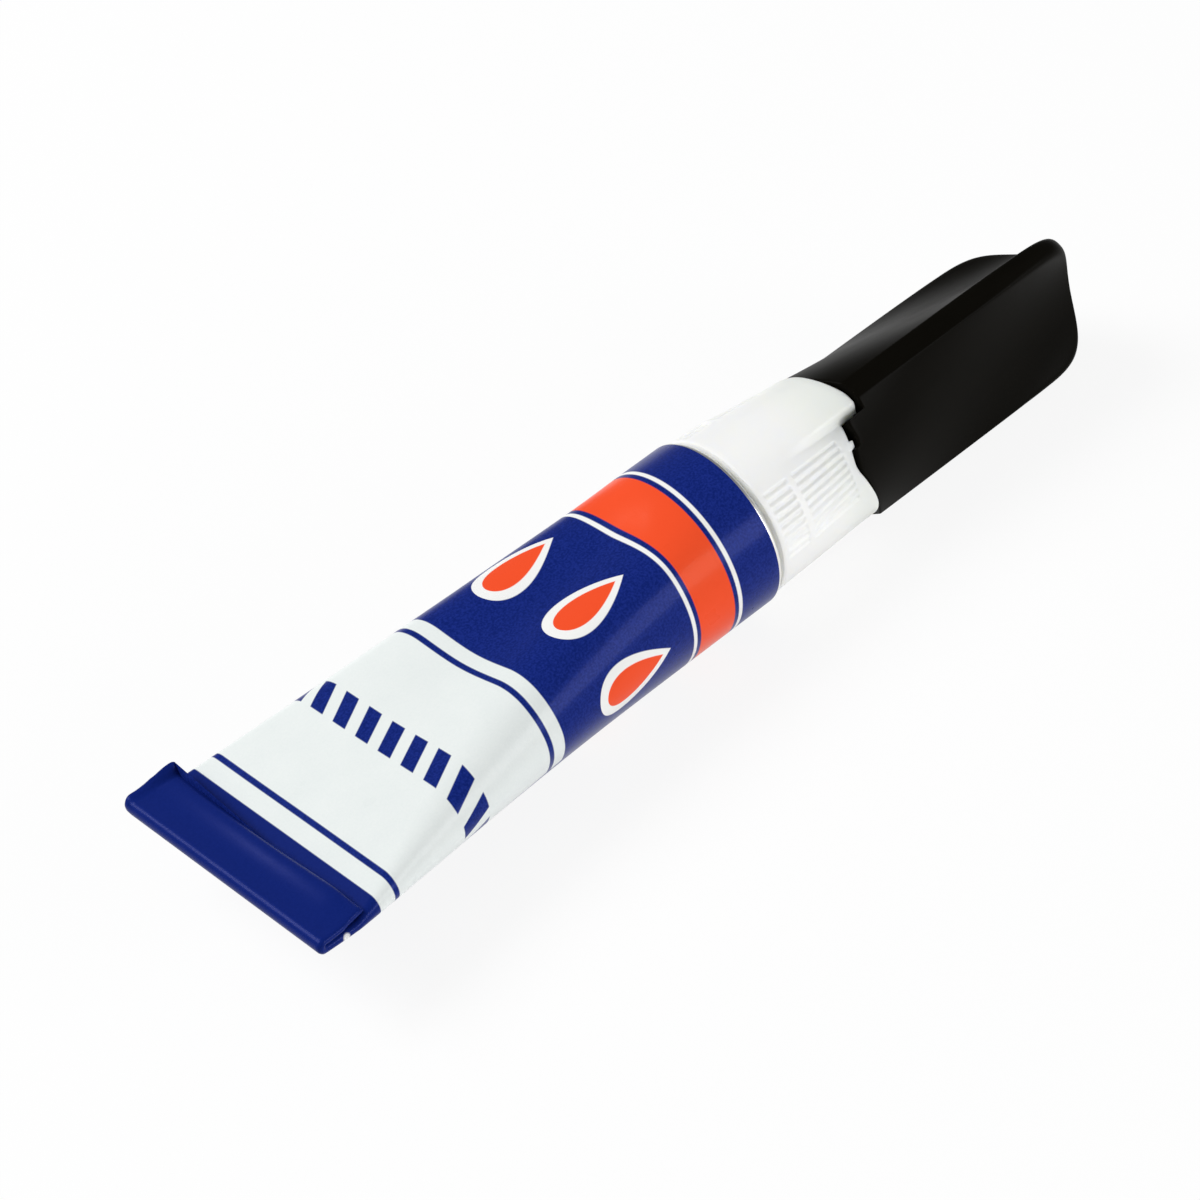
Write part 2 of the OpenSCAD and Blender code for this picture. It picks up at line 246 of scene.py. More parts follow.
def write_print_map(mesh, stations):
    """UV map that holds the girth and the printed station of each quad's corners.

    The print leans where the top was pressed: it is pulled towards the cap on the side of -Y."""
    girths = GIRTH * np.linspace(-0.5, 0.5, GIRTH_POINTS + 1)
    lean = PRINT_LEAN * ease((-stations - LEAN_START) / LEAN_GROWTH)
    lean *= 1 - ease((-stations - LEAN_FADE_START) / LEAN_FADE)
    printed = stations[:, None] - lean[:, None] * np.sin(2 * math.pi * girths / GIRTH)
    low, high = printed[:-1], printed[1:]
    v = np.stack([low[:, :-1], low[:, 1:], high[:, 1:], high[:, :-1]], -1)
    u = np.broadcast_to(np.stack([girths[:-1], girths[1:], girths[1:], girths[:-1]], -1), v.shape)
    quads = np.stack([u, v], -1).ravel() * PRINT_SCALE
    spots = np.zeros(2 * len(mesh.loops))
    spots[:len(quads)] = quads
    mesh.uv_layers.new(name="Print").data.foreach_set("uv", spots)


def shade(piece, sharp_degrees):
    """Smooth shading with edges over an angle kept sharp."""
    piece.data.polygons.foreach_set("use_smooth", [True] * len(piece.data.polygons))
    piece.data.set_sharp_from_angle(angle=math.radians(sharp_degrees))


# Tube

def flattened(t):
    """Half the flats' width and the round sides' radius for a share of flattening, with the girth kept."""
    r = TUBE_R + (TAIL_HALF_THICK - TUBE_R) * t
    return math.pi * (TUBE_R - r) / 2, r


def flatness(s):
    """Share of the flattening at a station, from 0 on the round barrel to 1 at the tail."""
    return (max(0.0, -s - BARREL_LEN) / FLATTEN_LEN) ** FLATTEN_POWER


GIRTH_SPOTS = -GIRTH / 2 + GIRTH * np.arange(GIRTH_POINTS) / GIRTH_POINTS
TOP_SHARE = 1 - ease((2 * np.abs(GIRTH_SPOTS) / GIRTH - TOP_FULL) / TOP_FADE)
HOLLOW_SHARE = ease(1 - np.abs(GIRTH_SPOTS) / HOLLOW_HALF_W)


def stadium(half, r, inset=0.0):
    """Across and up offsets of the girth's points on two half circles joined by flats."""
    scale = (2 * half + math.pi * r) / (GIRTH / 2)
    along = np.abs(GIRTH_SPOTS) * scale
    turn = np.clip((along - half) / r, 0, math.pi)
    flat_top = np.minimum(along, half)
    flat_under = np.maximum(along - half - math.pi * r, 0)
    across = flat_top + (r - inset) * np.sin(turn) - flat_under
    up = (r - inset) * np.cos(turn)
    return -np.sign(GIRTH_SPOTS) * across, up


DENT_DEPTH = 0.05
DENT_SIZE = 9.0
DENT_GROWTH = 12
DENT_TAIL_FADE = 3


def dents(points):
    """Slight unevenness of the handled foil, fading out on the round barrel and at the tail."""
    fade = ease((-points[:, 0] - BARREL_LEN) / DENT_GROWTH)
    fade *= ease((points[:, 0] - FLAT_STATION) / DENT_TAIL_FADE)
    depth = np.array([noise.noise(Vector(p) / DENT_SIZE) for p in points])
    moved = points.copy()
    moved[:, 2] += DENT_DEPTH * depth * fade
    return moved


def tube_ring(s, inset=0.0):
    """Ring of the tube: its lowest part as in the solid, and its top pressed flatter and hollow."""
    across, up = stadium(*flattened(flatness(s)), inset)
    pressed = (max(0.0, -s - PRESS_START) / (-FLAT_STATION - PRESS_START)) ** PRESS_POWER
    top_across, top_up = stadium(*flattened(pressed), inset)
    across += (top_across - across) * TOP_SHARE
    up += (top_up - up) * TOP_SHARE
    sunk = ease((-s - HOLLOW_START) / (HOLLOW_FULL - HOLLOW_START))
    sunk *= 1 - ease((-s - HOLLOW_FULL) / HOLLOW_FADE)
    up += TAIL_RISE * flatness(s) - HOLLOW_DEPTH * sunk * HOLLOW_SHARE
    return np.stack([np.full(GIRTH_POINTS, s), across, up], 1)


def round_ring(s, r):
    across, up = stadium(0.0, r)
    return np.stack([np.full(GIRTH_POINTS, s), across, up], 1)


def neck_ring(s):
    """Ring of the neck, with its single-start thread cut into it."""
    across, up = stadium(0.0, 1.0)
    turn = np.degrees(np.arctan2(up, across))
    phase = (s / NECK_PITCH - turn / 360) % 1
    groove = ease(1 - np.abs(phase - 0.5) / NECK_GROOVE)
    fade = ease((s - NECK_THREAD_START) / NECK_RUNOUT)
    fade *= ease((NECK_LEN - NECK_THREAD_MARGIN - s) / NECK_RUNOUT)
    r = NECK_R - NECK_THREAD_DEPTH * groove * fade
    return np.stack([np.full(GIRTH_POINTS, s), r * across, r * up], 1)


# Path of the fold: the hem's lower layer, the bend and the flap that climbs towards its lip
LAYER_STEP = TAIL_HALF_THICK + FLAP_HALF_THICK
BEND_R = LAYER_STEP / 2
BEND_STEP = 10
FOLD_PLAY = 0.02
HEM_RINGS = 14
FLAP_RINGS = 24
CLIMB_START = -3.0
CLIMB_LEN = FLAP_REACH + 3.4
CLIMB_SOFT = 1.5
SLOPE_SHARE = 0.8


def tail_path():
    """Centreline of the folded tail in the fold's own frame, as rows of station, height and turn.

    It runs back along the tail, round the bend and forward over the top to the flap's lip."""
    back = FOLD_DEPTH - FLAP_REACH - LAYER_STEP - FOLD_PLAY
    rows = [(-back * i / HEM_RINGS, 0.0, 0.0) for i in range(1, HEM_RINGS + 1)]
    rows += [(-back - BEND_R * math.sin(a), BEND_R - BEND_R * math.cos(a), a)
             for a in np.radians(range(BEND_STEP, 181, BEND_STEP))]
    for i in range(1, FLAP_RINGS + 1):
        x = -back + (back + FLAP_REACH) * i / FLAP_RINGS
        climb = float(ease((x - CLIMB_START) / CLIMB_LEN))
        slope = math.atan2(FLAP_LIFT, CLIMB_LEN) * float(ease((x - CLIMB_START) / CLIMB_SOFT))
        rows.append((x, LAYER_STEP + FLAP_LIFT * climb, math.pi + slope * SLOPE_SHARE))
    return rows


# Unevenness of the fold: its flared bend, thinned and set-back lip, curled far end and pressed near end
HEM_HALF_W = math.pi * (TUBE_R - TAIL_HALF_THICK) / 2 + TAIL_HALF_THICK
BEND_FLARE = 0.25
FLARE_PACE = 1.25
LIP_THINNING = (0.35, 0.75, 0.93)
LIP_DRAW = 0.35
LIP_DRAW_START = 0.75
LIP_BACK = 1.1
LIP_BOW = 0.45
LIP_SKEW = 0.05
FRONT_START = -3.2
FRONT_LEN = 4.4
CURL_HEIGHT = 0.9
CURL_WIDTH = 0.85
CURL_BACK_SHARE = 0.35
LIP_WAVE = 0.1
WAVE_PACE = 1.3
WAVE_PHASE = 0.3
NEAR_PRESS = 0.6
PRESSED_WIDTH = 3.0


def tail_rings():
    """Rings of the flattened tail along its fold, and the print's station on each of them."""
    tilt = math.radians(FOLD_TILT)
    path = tail_path()
    run, last = 0.0, (0.0, 0.0)
    rings, runs = [], []
    for i, (x, z, turn) in enumerate(path):
        run += math.hypot(x - last[0], z - last[1])
        last = (x, z)
        share = (i + 1) / len(path)
        on_top = turn / math.pi if turn < math.pi else 1.0
        thick = TAIL_HALF_THICK + (FLAP_HALF_THICK - TAIL_HALF_THICK) * on_top
        close = len(path) - 1 - i
        thick *= LIP_THINNING[close] if close < len(LIP_THINNING) else 1.0
        flare = BEND_FLARE * math.sin(math.pi * min(1.0, share * FLARE_PACE))
        drawn = max(0.0, share - LIP_DRAW_START) / (1 - LIP_DRAW_START)
        wide = HEM_HALF_W + flare - LIP_DRAW * drawn
        across, up = stadium(wide - thick, thick)
        front = float(ease((x - FRONT_START) / FRONT_LEN)) if on_top > 0.5 else 0.0
        curled = CURL_BACK_SHARE + (1 - CURL_BACK_SHARE) * front
        curl = CURL_HEIGHT * curled * ease((across - wide + CURL_WIDTH) / CURL_WIDTH)
        ripple = LIP_WAVE * front * np.cos(WAVE_PACE * across / wide * math.pi / 2 + WAVE_PHASE)
        back = LIP_BACK * (1 - LIP_BOW * (across / wide) ** 2) + LIP_SKEW * across / wide
        local_x = x + up * math.sin(turn) - back * front ** 2
        lift = max(0.0, z - LAYER_STEP)
        pressed = NEAR_PRESS * lift * ease((PRESSED_WIDTH - across - wide) / PRESSED_WIDTH)
        local_z = z - pressed + up * math.cos(turn) + (curl + ripple) * on_top
        s = FLAT_STATION + local_x * math.cos(tilt) + local_z * math.sin(tilt)
        height = TAIL_RISE - local_x * math.sin(tilt) + local_z * math.cos(tilt)
        rings.append(np.stack([s, across, height], 1))
        runs.append(FLAT_STATION - run)
    return rings, runs


INNER_END = FLAT_STATION + 1.4
INNER_RINGS = 24
NECK_RINGS = 60
BARREL_RINGS = 12
TAPER_RINGS = 96


def make_tube():
    """Aluminium tube as one closed skin: inside and bore, threaded neck, shoulder, barrel and folded tail."""
    inner_r = TUBE_R - TUBE_WALL
    rings, stations = [], []

    def add(ring, s):
        rings.append(ring)
        stations.append(s)

    for i in range(INNER_RINGS + 1):
        s = INNER_END + (-HOLLOW_START - INNER_END) * i / INNER_RINGS
        add(tube_ring(s, TUBE_WALL), s)
    # Radius and station of the inside, from the barrel through the bore to the pierced membrane
    inside = [(inner_r, -2.5), (inner_r, -1.2), (inner_r - 0.6, -0.6), (NECK_BORE_R + 0.4, -0.2),
              (NECK_BORE_R, 0.2), (NECK_BORE_R, NECK_LEN - 0.35), (PIERCED_R, NECK_LEN - 0.15),
              (PIERCED_R, NECK_LEN), (NECK_R - NECK_CHAMFER, NECK_LEN)]
    for r, s in inside:
        add(round_ring(s, r), s)
    neck_top, neck_foot = NECK_LEN - NECK_CHAMFER, SHOULDER_RISE + NECK_FILLET
    for i in range(NECK_RINGS + 1):
        s = neck_top + (neck_foot - neck_top) * i / NECK_RINGS
        add(neck_ring(s), s)
    add(round_ring(SHOULDER_RISE, NECK_R + NECK_FILLET), SHOULDER_RISE)
    add(round_ring(0.0, TUBE_R - EDGE_ROUND), 0.0)
    for a in np.radians(range(75, -1, -15)):
        s = -EDGE_ROUND + EDGE_ROUND * math.sin(a)
        add(round_ring(s, TUBE_R - EDGE_ROUND + EDGE_ROUND * math.cos(a)), s)
    lacquered_from = len(rings) - 1
    for i in range(1, BARREL_RINGS + 1):
        s = -EDGE_ROUND + (EDGE_ROUND - BARREL_LEN) * i / BARREL_RINGS
        add(tube_ring(s), s)
    for i in range(1, TAPER_RINGS + 1):
        s = -BARREL_LEN + (FLAT_STATION + BARREL_LEN) * i / TAPER_RINGS
        add(dents(tube_ring(s)), s)
    fold, runs = tail_rings()
    for ring, s in zip(fold, runs):
        add(ring, s)
    piece = loft("tube_skin", rings, poles=(rings[0].mean(0), rings[-1].mean(0)), print_stations=stations)
    material_index = np.ones(len(piece.data.polygons), int)
    quads = (len(rings) - 1) * GIRTH_POINTS
    material_index[lacquered_from * GIRTH_POINTS:quads] = 0
    material_index[-GIRTH_POINTS:] = 0
    piece.data.materials.append(lacquer())
    piece.data.materials.append(bare_aluminium())
    piece.data.polygons.foreach_set("material_index", material_index)
    shade(piece, 50)
    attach(piece, "tube")
    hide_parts("tube_body")


LIQUID_GAP = 0.08
LIQUID_FRONT = -1.3
LIQUID_RINGS = 40


def make_liquid():
    """Settled adhesive with a level top, kept inside the pressed tube."""
    low, high = (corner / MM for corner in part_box("adhesive"))
    rear = low.x - SHOULDER_X
    rings = []
    for i in range(LIQUID_RINGS + 1):
        ring = tube_ring(rear + (LIQUID_FRONT - rear) * i / LIQUID_RINGS, TUBE_WALL + LIQUID_GAP)
        ring[:, 2] = np.minimum(ring[:, 2], high.z - TUBE_R)
        rings.append(ring)
    piece = loft("liquid_fill", rings, poles=(rings[0].mean(0), rings[-1].mean(0)))
    piece.data.materials.append(clear_liquid())
    shade(piece, 40)
    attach(piece, "tube")
    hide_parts("adhesive")


# Nozzle

def wave(u):
    """Station of the collar's saw-tooth front edge, at angles past one of its steep walls."""
    foot = np.clip(1 - u / FOOT_SPAN, 0, 1)
    ramp = np.clip((u - TROUGH_SPAN) / (CREST_START - TROUGH_SPAN), 0, 1)
    return TROUGH + FOOT_RISE * foot + (CREST - TROUGH) * ramp


RIB_END = RIB_START + (RIB_COUNT + 0.5) * RIB_PITCH
WALL_TOP = LOBE_SPAN - WALL_WIDTH
RIB_STEP = 0.33
RAMP_COLUMNS = 45
STEP_COLUMNS = 18
WALL_SHARES = np.array([0.1, 0.35, 0.65, 0.9])
LOBE_STEPS = np.concatenate([np.arange(0, RIB_END, RIB_STEP),
                             np.linspace(RIB_END, LOBE_SPAN - STEP_SPAN, RAMP_COLUMNS),
                             np.linspace(LOBE_SPAN - STEP_SPAN, WALL_TOP, STEP_COLUMNS)[1:],
                             WALL_TOP + WALL_WIDTH * WALL_SHARES])
NOZZLE_STEPS = np.tile(LOBE_STEPS, LOBES)
NOZZLE_ANGLES = WALL_ANGLE + NOZZLE_STEPS + np.repeat(np.arange(LOBES) * LOBE_SPAN, len(LOBE_STEPS))


EDGE_EASING = (-4, -2, 0, 2, 4)


def edge_wave(u):
    """The saw-tooth edge with its corners eased and the steep wall's last points already dropping."""
    eased = np.mean([wave(u + turn) for turn in EDGE_EASING], 0)
    return eased + (wave(0.0) - CREST) * np.clip((u - WALL_TOP) / WALL_WIDTH, 0, 1)


def nib(u):
    """Height of the small nib on the low stretch of the collar's edge."""
    first, last = NIB_ANGLES
    return NIB_HEIGHT * ease((u - first) / NIB_SOFT + 0.5) * ease((last - u) / NIB_SOFT + 0.5)


def ribs(u):
    """1 in the valleys beside the ribs, 0 on the ribs and elsewhere."""
    f = (u - RIB_START) / RIB_PITCH
    near = np.abs(f - np.round(f))
    inside = (np.round(f) >= 0) & (np.round(f) <= RIB_COUNT)
    return np.where(inside, ease((VALLEY_HALF - near) / VALLEY_FLANK), 0.0)


def sink(u):
    """How far the collar is sunk, from 1 at a steep wall to 0: down over a soft step and slowly up again."""
    step = ease((u - LOBE_SPAN) / STEP_SPAN + 1)
    return np.where(u > LOBE_SPAN - STEP_SPAN, step, 1 - ease((u - PANEL_HOLD) / (PANEL_SPAN - PANEL_HOLD)))


def collar_r(u, s):
    """Radius of the collar: a slight cone, with a ribbed grip panel sunk behind each steep wall."""
    cone = COLLAR_BASE_R + (COLLAR_FRONT_R - COLLAR_BASE_R) * np.minimum(1, s / TROUGH)
    sunk = PANEL_DEPTH * sink(u) * np.clip((s - PANEL_BASE) / (TROUGH - PANEL_BASE), 0, 1)
    low = ease((s - RIB_BASE) / RIB_SOFT) * ease((PANEL_BASE - s) / RIB_SOFT)
    high = ease((s - PANEL_BASE - RIB_GAP) / RIB_SOFT) * ease((RIB_TOP - s) / RIB_SOFT)
    return cone - sunk - RIB_DEPTH * ribs(u) * (low + high)


def nozzle_ring(s, r):
    return polar(s, r, NOZZLE_ANGLES)


def boss_r(s):
    """Radius round the boss at a station, with the cap's three-start thread cut into it."""
    phase = (LOBES * (s / BOSS_LEAD - NOZZLE_ANGLES / 360)) % 1
    groove = ease(1 - np.abs(phase - 0.5) / BOSS_GROOVE)
    fade = ease((s - WEB_TOP - BOSS_THREAD_GAP) / BOSS_CHAMFER)
    fade *= ease((BOSS_TOP - BOSS_CHAMFER - s) / BOSS_CHAMFER)
    return BOSS_R - BOSS_THREAD_DEPTH * groove * fade


# Stations of the collar's rings between the ends of its lower and upper ribs
LOW_RIB_LEVELS = (1.6, 2.3)
HIGH_RIB_LEVELS = (4.6, 5.6, 6.5, 7.5)
BOSS_RINGS = 40


def make_nozzle():
    """White nozzle as one closed skin, from the piercer's tip round to the spout's tip and back."""
    u = NOZZLE_STEPS
    front = edge_wave(u) + nib(u)
    edge = NOZZLE_EDGE
    rings = [nozzle_ring(s, r) for r, s in (
        (CHANNEL_R, PIERCER_TIP), (CHANNEL_R + 0.2, PIERCER_TIP), (PIERCER_R, NECK_LEN + NECK_PLAY),
        (SOCKET_R, NECK_LEN + NECK_PLAY), (SOCKET_R, SOCKET_BASE), (SOCKET_OUTER_R, SOCKET_BASE),
        (SOCKET_OUTER_R, WEB_BASE), (COLLAR_BORE_R, WEB_BASE), (COLLAR_BORE_R, COLLAR_BASE))]
    rings.append(nozzle_ring(COLLAR_BASE, collar_r(u, COLLAR_BASE) - edge))
    rings.append(nozzle_ring(COLLAR_BASE + edge / 4, collar_r(u, COLLAR_BASE) - edge / 4))
    panel_rib = PANEL_BASE + RIB_GAP
    levels = np.concatenate([np.linspace(COLLAR_BASE + edge, RIB_BASE + RIB_SOFT, 5), LOW_RIB_LEVELS,
                             np.linspace(PANEL_BASE - RIB_SOFT, PANEL_BASE, 4),
                             np.linspace(panel_rib, panel_rib + RIB_SOFT, 4), HIGH_RIB_LEVELS,
                             np.linspace(RIB_TOP - RIB_SOFT, RIB_TOP, 4)])
    rings += [nozzle_ring(s, collar_r(u, s)) for s in levels]
    for share in (0.25, 0.5, 0.75):
        s = RIB_TOP + (front - edge - RIB_TOP) * share
        rings.append(nozzle_ring(s, collar_r(u, s)))
    for a in np.radians((0, 30, 60, 90)):
        s = front - edge + edge * math.sin(a)
        rings.append(nozzle_ring(s, collar_r(u, s) - edge + edge * math.cos(a)))
    rings.append(nozzle_ring(front, COLLAR_BORE_R + 0.1))
    rings.append(nozzle_ring(front - 0.1, COLLAR_BORE_R))
    rings.append(nozzle_ring(WEB_TOP, COLLAR_BORE_R))
    rings += [nozzle_ring(s, boss_r(s)) for s in np.linspace(WEB_TOP, BOSS_TOP - BOSS_CHAMFER, BOSS_RINGS)]
    rings += [nozzle_ring(s, r) for r, s in (
        (BOSS_R - BOSS_CHAMFER, BOSS_TOP), (SPOUT_ROOT_R + SPOUT_FILLET, BOSS_TOP),
        (SPOUT_ROOT_R + 0.3 * SPOUT_FILLET, BOSS_TOP + 0.3 * SPOUT_FILLET),
        (SPOUT_ROOT_R, BOSS_TOP + SPOUT_FILLET))]
    spout_len = SPOUT_TIP - BOSS_TOP - SPOUT_FILLET
    for k in range(1, SPOUT_RINGS):
        share = k / SPOUT_RINGS
        rings.append(nozzle_ring(BOSS_TOP + SPOUT_FILLET + spout_len * share,
                                 SPOUT_ROOT_R + (SPOUT_TIP_R - SPOUT_ROOT_R) * share))
    rings += [nozzle_ring(s, r) for r, s in (
        (SPOUT_TIP_R + 0.02, SPOUT_TIP - 0.15), (SPOUT_TIP_R - 0.12, SPOUT_TIP), (CHANNEL_R, SPOUT_TIP))]
    piece = loft("nozzle_skin", rings, loop=True)
    piece.data.materials.append(white_plastic())
    shade(piece, 40)
    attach(piece, "nozzle")
    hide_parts("nozzle")


# Cap

# Columns of the cap's rings: across a fin's rim, then along the panel to the next rim, each as a share of
# the rim's half angle and an angle past the fin's middle. They lie closely at the creases and the steep wall
BASE_RIM = math.degrees(math.asin(RIM_BASE / (2 * FIN_R)))
RIM_SHARES = np.array([-1, -0.985, -0.95, -0.87, -0.7, -0.45, -0.2, 0, 0.2, 0.45, 0.7, 0.87, 0.95, 0.985, 1])
NEAR_CREASE = np.array([0.001, 0.003, 0.007, 0.013, 0.02])
WALL_COLUMNS = np.array([-0.7, -0.5, -0.25, 0.0, 0.2])
NEAR_WALL = (WALL_LAG + WALL_GAP - BASE_RIM + WALL_COLUMNS) / (LOBE_SPAN - 2 * BASE_RIM)
PANEL_COLUMNS = np.linspace(0.03, 0.97, 95)
PANEL_SHARES = np.sort(np.concatenate([NEAR_CREASE, 1 - NEAR_CREASE, NEAR_WALL, PANEL_COLUMNS]))
CAP_WEIGHTS = np.tile(np.concatenate([RIM_SHARES, 1 - 2 * PANEL_SHARES]), LOBES)
CAP_OFFSETS = np.concatenate([np.zeros(len(RIM_SHARES)), LOBE_SPAN * PANEL_SHARES])
CAP_OFFSETS = np.tile(CAP_OFFSETS, LOBES) + np.repeat(np.arange(LOBES) * LOBE_SPAN, len(CAP_OFFSETS))


def cap_share(s):
    """Length share along the cap, from its base to its far end."""
    return np.maximum(0, (s - TROUGH) / (CAP_END - TROUGH))


def rim_half_angle(s):
    return np.degrees(np.arcsin((RIM_BASE + (RIM_END - RIM_BASE) * cap_share(s)) / (2 * FIN_R)))


def cap_angles(s):
    """Angles of the columns past the first fin's middle, at a station."""
    return CAP_WEIGHTS * rim_half_angle(s) + CAP_OFFSETS


def soft_max(a, b, blend):
    """The higher of two lengths, with the corner between them rounded."""
    h = np.maximum(0, 1 - np.abs(a - b) / blend)
    return np.maximum(a, b) + h * h * blend / 4


def corner(s):
    """Rounding of the fins' corners, which grows towards the far end."""
    return CORNER_BASE + (CORNER_END - CORNER_BASE) * cap_share(s) ** CORNER_POWER


def panel_arc(s):
    """Arc of a panel between two fins, as its centre's distance from the axis and its signed radius.

    It bulges next to the collar and is hollow at the far end."""
    waist = WAIST_BASE + (WAIST_END - WAIST_BASE) * cap_share(s)
    half = math.pi / LOBES - np.radians(rim_half_angle(s))
    chord = FIN_R * np.sin(half)
    bulge = waist - FIN_R * np.cos(half)
    bulge = np.where(np.abs(bulge) < MIN_BULGE, MIN_BULGE, bulge)
    arc = (chord ** 2 + bulge ** 2) / (2 * bulge)
    return waist - arc, arc


def dome_r(s):
    """Radius of the fins' tips, drawn in over the domed far end."""
    share = np.clip((s - DOME_START) / DOME_LEN, 0, 1)
    return FIN_R * (1 - share ** DOME_POWER) ** (1 / DOME_POWER)


def cap_r(s, angles):
    """Radius of the cap's skin, found by halving: within the fins' tips and the panels beside a fin."""
    centre, arc = panel_arc(s)
    tip, blend = dome_r(s), corner(s)
    off = np.radians(np.abs(angles % LOBE_SPAN - LOBE_SPAN / 2))

    def past_panel(r, turn):
        return np.sign(arc) * (np.hypot(r * np.cos(turn) - centre, r * np.sin(turn)) - np.abs(arc))

    low, high = np.zeros(angles.shape), np.full(angles.shape, FIN_R)
    for _ in range(HALVINGS):
        r = (low + high) / 2
        panels = soft_max(past_panel(r, off), past_panel(r, math.radians(LOBE_SPAN) - off), blend)
        inside = soft_max(r - tip, panels, blend) < 0
        low, high = np.where(inside, r, low), np.where(inside, high, r)
    return high


def cap_ring(s, less=0.0):
    angles = cap_angles(s)
    return polar(s, cap_r(s, angles) - less, FIN_ANGLE + angles)


def cap_base():
    """Stations of the cap's base edge, clear of the collar's walls and, as the cap screws off, of its nib."""
    u = (cap_angles(TROUGH) - WALL_LAG) % LOBE_SPAN
    turns = np.linspace(0, NIB_SWEEP, 57)
    relief = np.max([nib(u + turn) - turn * BOSS_LEAD / 360 for turn in turns], 0)
    return edge_wave((u - WALL_GAP) % LOBE_SPAN) + CAP_GAP + relief


def make_cap():
    """Black finned cap as one closed skin: the outside from its domed end, then the edge and the inside."""
    base = cap_base()
    angles = FIN_ANGLE + cap_angles(TROUGH)
    edge = CAP_EDGE
    turns = np.radians(np.linspace(86, 4, 30))
    stations = list(DOME_START + DOME_LEN * np.sin(turns) ** (2 / DOME_POWER))
    stations += list(np.linspace(DOME_START, CAP_LEVEL, 40))
    rings = [cap_ring(s) for s in stations]
    rings += [cap_ring(CAP_LEVEL + (base + edge - CAP_LEVEL) * k / 8) for k in range(1, 9)]
    rings += [cap_ring(base + edge * (1 - math.sin(a)), edge * (1 - math.cos(a)))
              for a in np.radians((30, 60, 90))]
    rings.append(polar(base, CAP_BORE_R + 0.1, angles))
    rings.append(polar(base + 0.1, CAP_BORE_R, angles))
    rings += [polar(s, r, angles) for r, s in (
        (CAP_BORE_R, BOSS_TOP + SPOUT_PLAY), (SPOUT_ROOT_R + SPOUT_PLAY, BOSS_TOP + 2 * SPOUT_PLAY),
        (SPOUT_TIP_R + SPOUT_PLAY, SPOUT_TIP + SPOUT_PLAY), (NEEDLE_HOLE_R, SPOUT_TIP + 1.5 * SPOUT_PLAY),
        (NEEDLE_HOLE_R, BLIND_END))]
    piece = loft("cap_skin", rings, poles=((CAP_END, 0, 0), (BLIND_END, 0, 0)))
    piece.data.materials.append(black_plastic())
    shade(piece, 40)
    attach(piece, "cap")
    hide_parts("cap")


# Materials

class Nodes:
    """Short names for making a material's nodes."""

    def __init__(self, name):
        self.material = bpy.data.materials.new(name)
        self.material.use_nodes = True
        self.tree = self.material.node_tree
        self.shader = self.tree.nodes["Principled BSDF"]

    def add(self, kind, **inputs):
        node = self.tree.nodes.new("ShaderNode" + kind)
        for key, value in inputs.items():
            self.put(value, node.inputs[key.replace("_", " ")])
        return node

    def put(self, value, socket):
        if isinstance(value, bpy.types.NodeSocket):
            self.tree.links.new(value, socket)
        else:
            socket.default_value = value

    def math(self, operation, *values):
        node = self.tree.nodes.new("ShaderNodeMath")
        node.operation = operation
        for value, socket in zip(values, node.inputs):
            self.put(value, socket)
        return node.outputs[0]

    def above(self, value, edge, soft):
        """0 below an edge and 1 above it, with a soft line between."""
        node = self.tree.nodes.new("ShaderNodeMapRange")
        node.interpolation_type = "SMOOTHSTEP"
        self.put(value, node.inputs["Value"])
        self.put(self.math("SUBTRACT", edge, soft), node.inputs["From Min"])
        self.put(self.math("ADD", edge, soft), node.inputs["From Max"])
        return node.outputs[0]

    def band(self, value, low, high, soft):
        return self.math("MULTIPLY", self.above(value, low, soft),
                         self.math("SUBTRACT", 1.0, self.above(value, high, soft)))

    def mix(self, share, first, second):
        node = self.tree.nodes.new("ShaderNodeMix")
        node.data_type = "RGBA"
        self.put(share, node.inputs[0])
        self.put(first, node.inputs[6])
        self.put(second, node.inputs[7])
        return node.outputs[2]

    def noise(self, scale, detail=2.0, roughness=0.5, stretch=(1, 1, 1)):
        """Noise over the piece's own coordinates, with its scale in waves per millimetre."""
        coordinates = self.tree.nodes.new("ShaderNodeTexCoord")
        mapping = self.add("Mapping", Vector=coordinates.outputs["Object"])
        mapping.inputs["Scale"].default_value = [x / MM for x in stretch]
        node = self.add("TexNoise", Vector=mapping.outputs[0], Scale=scale, Detail=detail,
                        Roughness=roughness)
        return node.outputs["Fac"]

    def ramp(self, value, low, high):
        node = self.tree.nodes.new("ShaderNodeMapRange")
        self.put(value, node.inputs["Value"])
        node.inputs["To Min"].default_value = low
        node.inputs["To Max"].default_value = high
        return node.outputs[0]

    def bump(self, height, strength, distance_mm):
        node = self.add("Bump", Height=height, Strength=strength, Distance=distance_mm * MM)
        self.put(node.outputs[0], self.shader.inputs["Normal"])

    def set(self, **inputs):
        for key, value in inputs.items():
            self.put(value, self.shader.inputs[key.replace("_", " ")])


BLUE = (0.0105, 0.026, 0.215, 1)
DEEP_BLUE = (0.0045, 0.015, 0.145, 1)
BLUE_SHEEN = (0.18, 0.25, 1.0, 1)
RED_SHEEN = (1.0, 0.35, 0.2, 1)
PEARL = (0.74, 0.79, 0.78, 1)
PEARL_BRIGHT = (0.86, 0.89, 0.87, 1)
WHITE_INK = (0.90, 0.90, 0.88, 1)
BARE_METAL = (0.80, 0.80, 0.78, 1)
RED_INK = (0.90, 0.085, 0.025, 1)
INK_SOFT = 0.05

